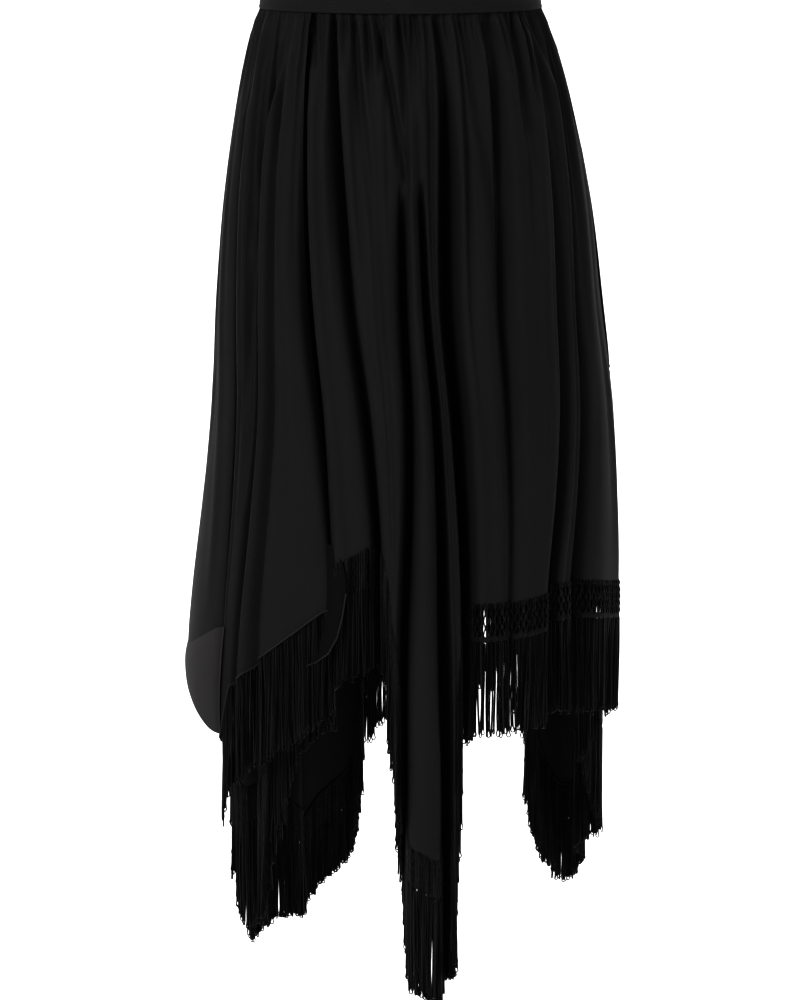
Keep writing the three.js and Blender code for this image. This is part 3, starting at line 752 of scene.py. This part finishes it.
def slow_noise(places, reach, rng):
    """A value between -1 and 1 that changes slowly along the hem, so neighbouring strands lean alike."""
    knots = np.arange(0, places[-1] + 2 * reach, reach)
    return np.interp(places, knots, rng.uniform(-1, 1, len(knots)))


def bunched(places, rng):
    """How far each strand is drawn towards the middle of its bunch."""
    edges = np.cumsum(rng.uniform(5, 15, int(places[-1] / 5) + 2))
    bunch = np.searchsorted(edges, places)
    drawn = rng.uniform(0.15, 0.6, len(edges) + 1)
    middle = (np.r_[0, edges][bunch] + edges[np.minimum(bunch, len(edges) - 1)]) / 2
    return np.clip((middle - places) * drawn[bunch], -3, 3)


def is_short(root):
    """True where the front's shortest panel ends, whose strands hang close and hide their net."""
    return (root[:, 1] < 0) & (-root[:, 2] < SHORT_PANEL)


def levelness(root, beside):
    """1 where a hem is level enough for its net to spread, down to 0 beside a corner and at it."""
    height = root[:, 2]
    spans = [np.ptp(height[max(0, i - beside):i + beside + 1]) for i in range(len(height))]
    spread = np.clip(1.5 - np.array(spans) / 36, 0, 1) * np.clip((LOW_CORNER - 10 + height) / 30, 0, 1)
    return spread * (1 - 0.85 * is_short(root))


def looped_fringe(name, hem, heading, length, pitch, netted, seed):
    """Looped strands, each one cord down and up again. A netted heading has knots that join them in turn."""
    rng = np.random.default_rng(seed)
    places, root, out, along, lower = spaced(hem, pitch, 0.22, rng)
    count = len(places)
    index = np.arange(count)
    paths, widths = [], []
    ones = np.ones(count)
    down = np.array([0, 0, -1.0])
    if netted:
        level = levelness(root, 12)
        cord = 0.85 + 0.4 * (1 - level)
        paths += [root - down * 2.5 - out, root + down * 1.6 + out * 0.3, root + down * 3.2]
        widths += [cord, cord + 0.65 * level, cord]
        previous = root
        for row, drop in enumerate(NET_DROPS):
            partner = np.clip(np.where((index + row) % 2 == 0, index + 1, index - 1), 0, count - 1)
            plumb = root + down * drop + along * rng.normal(0, 0.5, (count, 1))
            joined = (root + root[partner]) / 2 + down * drop + (root - root[partner]) * 0.09
            own = plumb + (joined - plumb) * level[:, None]
            between = (previous + own) / 2 + out * rng.uniform(-0.4, 0.4, (count, 1))
            between = between + (root + down * (drop - 3.4) - between) * np.array([0.35, 0.35, 1.0])
            paths += [between, own + out * 0.4]
            widths += [cord, cord + 0.7 * level]
            previous = own
        paths.append(root + down * (heading - 4))
        widths.append(cord)
    else:
        paths += [root - down * 2.0 - out, root + down * 0.8]
        widths += [CORD_RADIUS * ones, CORD_RADIUS * ones]
    slow, slow_out = slow_noise(places, 20, rng), slow_noise(places, 15, rng)
    drawn = bunched(places, rng)
    pushed = FLARE * np.clip((FLARE_ABOVE + root[:, 2]) / 70, 0, 1)
    lean = slow * 2.2 + rng.normal(0, 0.9, count) + drawn
    lean_out = slow_out * 1.4 + rng.normal(0, 0.7, count)
    lean_out = lean_out - rng.choice([0, 1.8, 3.2], count, p=[0.45, 0.35, 0.2])
    wave = rng.uniform(0.25, 0.9, count)
    phase = rng.uniform(0, 2 * math.pi, count)
    broad = (root[:, 1] < 0) & (root[:, 0] > 50) & (-root[:, 2] < SHORT_PANEL + 60)
    cut = SHORT_STRANDS * is_short(root) + BROAD_STRANDS * (broad & ~is_short(root))
    reach = length - lower + slow * 2.2 + rng.normal(0, 1.9, count) - cut * netted
    twist = rng.uniform(0, 2 * math.pi, count)
    apart = along * np.cos(twist)[:, None] + out * np.sin(twist)[:, None]

    def hang(drop, offset):
        share = drop / length
        loose = np.minimum(1, share * 3)
        sway = lean * share**1.1 + wave * np.sin(phase + share * 5.5) * loose
        stand = lean_out * share**0.7 + 0.6 * wave * np.cos(phase * 1.7 + share * 4.1) * loose
        stand = stand + pushed * share
        place = root + down * (heading + drop)[:, None]
        return place + along * sway[:, None] + out * stand[:, None] + apart * offset[:, None]

    for share in DOWN_SHARES:
        paths.append(hang(reach * share, -HALF_APART * ones))
        widths.append(CORD_RADIUS * ones)
    for turn in LOOP_TURNS:
        angle = math.radians(turn)
        loop = rng.uniform(1.3, 2.2, count)
        paths.append(hang(reach * (0.965 + 0.03 * math.cos(angle)), loop * math.sin(angle)))
        widths.append(0.65 * ones)
    for share in UP_SHARES:
        paths.append(hang(reach * share, HALF_APART * ones))
        widths.append(CORD_RADIUS * ones)
    paths = np.stack(paths, 1)
    widths = np.stack(widths, 1)
    side = np.cross(apart, np.array([0, 0, 1.0]))
    side = np.repeat(side[:, None, :], paths.shape[1], axis=1)
    return tubes(name, paths, widths, 4, side)


def ribbon(name, hem, top, bottom, bulge, lift):
    """A narrow band under a hem, as the woven edge that a fringe's strands hang from."""
    s = np.linspace(0, 1, 6)
    tall = 0.12 + 0.88 * levelness(hem.points, 24)
    drop = bottom - (bottom - top) * (1 - s[None, :]) * tall[:, None]
    stand = lift + bulge * np.sin(math.pi * s)
    points = hem.points[:, None, :] + hem.out[:, None, :] * stand[None, :, None]
    points = points - np.array([0, 0, 1.0]) * drop[:, :, None]
    return grid_sheet(name, points)


def rolled_edge(name, hem, radius, lift):
    """The thin roll of a hem, as a cord along the cloth's edge."""
    path = hem.points + hem.out * lift
    side = hem.out
    return tubes(name, path[None], np.full((1, len(path)), radius), 8, side[None])


# What a user may change

class SkirtSizes(bpy.types.PropertyGroup):
    """Sizes of the skirt's trims."""

    net_height: FloatProperty(
        name="Net height", description="Height of the knotted heading", default=0.034,
        min=0.015, max=0.06, subtype="DISTANCE", unit="LENGTH",
    )
    plain_heading: FloatProperty(
        name="Plain heading", description="Height of the over-panel fringe's heading", default=0.003,
        min=0.001, max=0.02, subtype="DISTANCE", unit="LENGTH",
    )
    strand_length: FloatProperty(
        name="Strand length", description="Length of a looped strand under its heading", default=0.097,
        min=0.03, max=0.2, subtype="DISTANCE", unit="LENGTH",
    )
    strand_pitch: FloatProperty(
        name="Strand pitch", description="Distance from strand to strand along the hem", default=0.0029,
        min=0.002, max=0.02, subtype="DISTANCE", unit="LENGTH",
    )
    cloth_rows: IntProperty(
        name="Cloth rows", description="Rows of faces from the waist to the hem", default=120,
        min=30, max=200,
    )


class SkirtColours(bpy.types.PropertyGroup):
    """Colours of the skirt's materials."""

    crepe: FloatVectorProperty(
        name="Crepe", description="Right side of the cloth", default=(0.0165, 0.0155, 0.0160),
        size=3, min=0, max=1, subtype="COLOR",
    )
    wrong_side: FloatVectorProperty(
        name="Wrong side", description="Wrong side of the cloth, where a corner is turned back",
        default=(0.0330, 0.0313, 0.0324), size=3, min=0, max=1, subtype="COLOR",
    )
    band: FloatVectorProperty(
        name="Waistband", description="The waistband's cloth", default=(0.0182, 0.0171, 0.0175),
        size=3, min=0, max=1, subtype="COLOR",
    )
    cord: FloatVectorProperty(
        name="Fringe", description="The fringe's cord", default=(0.0090, 0.0083, 0.0086),
        size=3, min=0, max=1, subtype="COLOR",
    )


def sizes():
    return bpy.context.scene.skirt_sizes


def colours():
    return bpy.context.scene.skirt_colours


def shade(colour, share):
    return [c * share for c in colour]


def crepe():
    return cloth_material("crepe_right_side", colours().crepe)


def wrong_side():
    return cloth_material("crepe_wrong_side", colours().wrong_side)


# The layer behind the flap: the crepe's colour darkened to 0.4 of itself, painted shade for the flap's shadow
# on it.
def crepe_in_painted_shade():
    return cloth_material("crepe_behind_flap", shade(colours().crepe, 0.4))


# The rolled hem: the crepe's colour lightened by half, a painted highlight along the roll's edge.
def hem_roll():
    return cloth_material("hem_roll", shade(colours().crepe, 1.5))


def cord():
    return cord_material("fringe_cord", colours().cord)


def woven_band():
    return cloth_material("fringe_band", shade(colours().cord, 1.3))


# A panel's flat size as it is cut, and the area of its cloth that shows all round, in metres.
Cut = namedtuple("Cut", "flat area")


def skirt_cloth(side):
    """The grid of the skirt's front or back panel."""
    stations = stations_of(SKIRT_FOLDS, True)
    last = len(stations) - 1
    seam = [station.name for station in stations].index(FIRST_BACK_FOLD) - 1
    first, end = (last - len(stations), seam) if side == "front" else (seam, last)
    seed, spacing = (11, 1.7) if side == "front" else (23, 2.6)
    return drape(
        stations, first, end, closed=True, seed=seed, table=SKIRT_CREASES, pulls=SKIRT_PULLS, deepest=11.5,
        on_top=False, rows=sizes().cloth_rows, spacing=spacing,
    )


def over_cloth():
    stations = [free_edge(OVER_START), *stations_of(OVER_FOLDS, False), free_edge(OVER_END)]
    return drape(
        stations, 0, len(stations) - 1, closed=False, seed=37, table=OVER_CREASES, pulls=OVER_PULLS,
        deepest=9.0, on_top=True, rows=sizes().cloth_rows, spacing=2.2,
    )


class SKIRT_OT_waistband(bpy.types.Operator):
    """Makes the elastic waistband: a smooth ring with a turned upper edge"""

    bl_idname = "skirt.waistband"
    bl_label = "Waistband"

    def execute(self, context):
        steps = 288
        turn = np.arange(steps) * 2 * math.pi / steps
        rng = np.random.default_rng(5)
        pucker = sum(
            rng.uniform(0.3, 1) * np.sin(turn * n + rng.uniform(0, 6.28)) for n in (31, 43, 58, 76, 97)
        ) * 0.09
        z, half, deep = (np.array(v, float) for v in zip(*BAND_SECTION))
        near = np.clip((2 - z) / 22, 0, 1)
        stand = pucker[:, None] * near[None, :]
        x = (half[None, :] + stand) * np.sin(turn)[:, None]
        y = -(deep[None, :] + stand) * np.cos(turn)[:, None]
        height = z[None, :] - WAIST_DIP * np.cos(turn)[:, None]
        points = np.stack([x, y, height], -1)
        rows = len(BAND_SECTION)
        j = np.arange(steps)
        i = np.arange(rows)
        a = (j[:, None] * rows + i[None, :]).ravel()
        b = (((j + 1) % steps)[:, None] * rows + i[None, :]).ravel()
        c = (((j + 1) % steps)[:, None] * rows + (i[None, :] + 1) % rows).ravel()
        d = (j[:, None] * rows + (i[None, :] + 1) % rows).ravel()
        uv = np.stack(
            [np.repeat(turn[:, None] * 0.12, rows, 1), np.repeat(z[None, :] * MM, steps, 0)], -1
        ).reshape(-1, 2)
        band = make_mesh("waistband_cloth", points.reshape(-1, 3) * MM, np.stack([a, b, c, d], 1), uv)
        dress(band, cloth_material("band_cloth", colours().band))
        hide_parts("waistband")
        return {"FINISHED"}


class SKIRT_OT_front(bpy.types.Operator):
    """Makes the skirt's front panel and its netted fringe"""

    bl_idname = "skirt.front"
    bl_label = "Skirt front"

    def execute(self, context):
        make_panel("front", 41)
        return {"FINISHED"}


class SKIRT_OT_back(bpy.types.Operator):
    """Makes the skirt's back panel and its netted fringe"""

    bl_idname = "skirt.back"
    bl_label = "Skirt back"

    def execute(self, context):
        make_panel("back", 53)
        return {"FINISHED"}


def make_panel(side, seed):
    cloth = skirt_cloth(side)
    panel = dress(grid_sheet(f"skirt_{side}_cloth", cloth.points), crepe())
    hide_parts(f"skirt_{side}")
    hem = hem_of(cloth)
    net = sizes().net_height / MM
    fringe = looped_fringe(
        f"fringe_{side}_strands", hem, net, sizes().strand_length / MM, sizes().strand_pitch / MM, True, seed
    )
    dress(fringe, cord())
    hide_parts(f"fringe_{side}")
    tape = dress(ribbon(f"fringe_{side}_band", hem, net - 5, net + 0.5, 0.6, 0.2), woven_band())


class SKIRT_OT_over_panel(bpy.types.Operator):
    """Makes the draped over-panel with its turned-back corner, rolled hem and fringe"""

    bl_idname = "skirt.over_panel"
    bl_label = "Over-panel"

    def execute(self, context):
        cloth = over_cloth()
        panel = dress(grid_sheet("over_panel_cloth", cloth.points), crepe())
        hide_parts("over_panel")
        hem_degrees = cloth.degrees[:, -1]
        pieces = []
        for part, keep, seed in (
            ("back", hem_degrees <= PLAIN_HEM[0], 67),
            ("flap", hem_degrees >= PLAIN_HEM[1], 71),
        ):
            hem = hem_of(cloth, keep)
            fringe = looped_fringe(
                f"fringe_over_{part}_strands", hem, sizes().plain_heading / MM, sizes().strand_length / MM,
                sizes().strand_pitch / MM, False, seed,
            )
            dress(fringe, cord())
            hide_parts(f"fringe_over_{part}")
            pieces.append(fringe)
        roll = rolled_edge("over_panel_hem", hem_of(cloth), 0.95, 0.5)
        # The roll is lighter than the crepe, a painted highlight along the hem.
        dress(roll, hem_roll())
        pieces += [roll, self.turned_corner(cloth), *self.tucked_layer()]
        return {"FINISHED"}

    def tucked_layer(self):
        """The end of the over-panel that goes on behind the flap, with its own curved hem."""
        turn = np.linspace(0, 1, 48)
        share = [row.share for row in TUCKED]
        degrees, top, hem, out = (
            np.interp(turn, share, [getattr(row, key) for row in TUCKED])[:, None] for key in Tuck._fields[1:]
        )
        s = np.linspace(0, 1, 16)[None, :]
        drops = top + (hem - top) * s
        places = degrees + np.zeros_like(drops)
        points, normals = body_point(places, drops, out + np.zeros_like(drops), drops)
        # Its cloth is painted darker, painted shade where the flap shadows it.
        sheet = dress(grid_sheet("over_panel_tuck", points), crepe_in_painted_shade())
        edge = hem_of(Cloth(points, normals, places, drops, hem[:, 0], 0 * hem[:, 0]))
        # Its hem roll is lighter than the crepe, a painted highlight.
        return sheet, dress(rolled_edge("over_panel_tuck_hem", edge, 0.8, 0.4), hem_roll())

    def turned_corner(self, cloth):
        """The corner that is turned back to the outside and shows the cloth's wrong side."""
        rows = 24
        degrees = cloth.degrees[:, -1]
        keep = np.where((degrees >= PLAIN_HEM[0]) & (degrees <= PLAIN_HEM[1]))[0]
        top = np.interp(degrees[keep], [turn.degrees for turn in TURNED], [turn.drop for turn in TURNED])
        top = np.minimum(top, cloth.falls[keep] - 2)
        points = np.zeros((len(keep), rows, 3))
        for n, j in enumerate(keep):
            drops = top[n] + (cloth.falls[j] - top[n]) * np.linspace(0, 1, rows)
            for c in range(3):
                points[n, :, c] = np.interp(drops, cloth.drops[j], cloth.points[j, :, c])
            puff = 1.4 + 0.8 * np.sin(math.pi * np.linspace(0, 1, rows)) ** 0.7
            points[n] += cloth.normals[j, -1] * puff[:, None]
        corner = grid_sheet("over_panel_corner", points)
        return dress(corner, wrong_side())


WORLD_LIGHT = 0.39
LOOK_AT = (0, 0, -0.45)
Lamp = namedtuple("Lamp", "name place size power aim")
LAMPS = [
    Lamp("key", (-2.2, -2.9, 1.5), 1.7, 56, LOOK_AT),
    Lamp("fill", (2.4, -2.6, 0.2), 2.0, 12, LOOK_AT),
    Lamp("ground_wash", (0, 1.4, 3.2), 3.2, 170, (0, 2.4, -1.0)),
]
CAMERA_PLACE = Vector((0, -3.6, -0.1))
CAMERA_AIM = Vector((0, 0, -0.484))
SENSOR_HEIGHT = 36
PICTURE_HEIGHT = 0.95  # metres that the picture spans at the skirt


class SKIRT_OT_stage(bpy.types.Operator):
    """Sets the floor, the backdrop, the studio light and the camera"""

    bl_idname = "skirt.stage"
    bl_label = "Stage"

    def execute(self, context):
        floor, far, bend, wide = -1.06, 2.6, 1.2, 9.0
        line = [(-7.0, floor), (far - bend, floor)]
        line += [
            (far - bend + bend * math.sin(a), floor + bend - bend * math.cos(a))
            for a in np.linspace(0, math.pi / 2, 24)[1:]
        ]
        line.append((far, 6.0))
        points = [(x, y, z) for y, z in line for x in (-wide, wide)]
        faces = [(2 * i, 2 * i + 1, 2 * i + 3, 2 * i + 2) for i in range(len(line) - 1)]
        ground = make_mesh("studio_ground", points, faces)
        # The paper is clear from behind, so that the skirt's back can be looked at through it.
        material, nodes, paper = new_material("studio_paper")
        fill_in(paper, {"Base Color": (0.93, 0.93, 0.93, 1), "Roughness": 0.95, "Specular IOR Level": 0.05})
        side = nodes.new("ShaderNodeNewGeometry")
        clear = nodes.new("ShaderNodeBsdfTransparent")
        either = nodes.new("ShaderNodeMixShader")
        join(side, "Backfacing", either, 0)
        join(paper, 0, either, 1)
        join(clear, 0, either, 2)
        join(either, 0, nodes["Material Output"], "Surface")
        ground.data.materials.append(material)
        world = bpy.data.worlds.new("studio")
        bpy.context.scene.world = world
        world.use_nodes = True
        fill_in(world.node_tree.nodes["Background"], {"Color": (1, 1, 1, 1), "Strength": WORLD_LIGHT})
        for lamp in LAMPS:
            self.light(lamp)
        camera = bpy.data.objects.new("camera", bpy.data.cameras.new("camera"))
        bpy.context.scene.collection.objects.link(camera)
        sight = CAMERA_AIM - CAMERA_PLACE
        camera.location = CAMERA_PLACE
        camera.rotation_euler = sight.to_track_quat("-Z", "Y").to_euler()
        camera.data.sensor_fit = "VERTICAL"
        camera.data.sensor_height = SENSOR_HEIGHT
        camera.data.lens = SENSOR_HEIGHT * sight.length / PICTURE_HEIGHT
        bpy.context.scene.camera = camera
        bpy.context.scene.view_settings.view_transform = "Standard"
        bpy.context.scene.view_settings.look = "High Contrast"
        return {"FINISHED"}

    def light(self, lamp):
        data = bpy.data.lights.new(lamp.name, "AREA")
        data.shape = "DISK"
        data.size = lamp.size
        data.energy = lamp.power
        thing = bpy.data.objects.new(lamp.name, data)
        bpy.context.scene.collection.objects.link(thing)
        thing.location = lamp.place
        thing.rotation_euler = (Vector(lamp.aim) - Vector(lamp.place)).to_track_quat("-Z", "Y").to_euler()


class SKIRT_PT_panel(bpy.types.Panel):
    """The skirt's sizes, colours and pieces"""

    bl_idname = "SKIRT_PT_panel"
    bl_label = "Skirt"
    bl_space_type = "VIEW_3D"
    bl_region_type = "UI"
    bl_category = "Skirt"

    def draw(self, context):
        for group in (context.scene.skirt_sizes, context.scene.skirt_colours):
            for key in group.__annotations__:
                self.layout.prop(group, key)
        for piece in PIECES:
            self.layout.operator(piece.bl_idname)


PIECES = (SKIRT_OT_waistband, SKIRT_OT_front, SKIRT_OT_back, SKIRT_OT_over_panel, SKIRT_OT_stage)
CLASSES = (SkirtSizes, SkirtColours, *PIECES, SKIRT_PT_panel)


def register():
    for each in CLASSES:
        bpy.utils.register_class(each)
    bpy.types.Scene.skirt_sizes = PointerProperty(type=SkirtSizes)
    bpy.types.Scene.skirt_colours = PointerProperty(type=SkirtColours)


def unregister():
    del bpy.types.Scene.skirt_colours
    del bpy.types.Scene.skirt_sizes
    for each in reversed(CLASSES):
        bpy.utils.unregister_class(each)


def main():
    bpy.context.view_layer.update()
    register()
    bpy.ops.skirt.waistband()
    bpy.ops.skirt.front()
    bpy.ops.skirt.back()
    bpy.ops.skirt.over_panel()
    bpy.ops.skirt.stage()


if __name__ == "__main__":
    main()
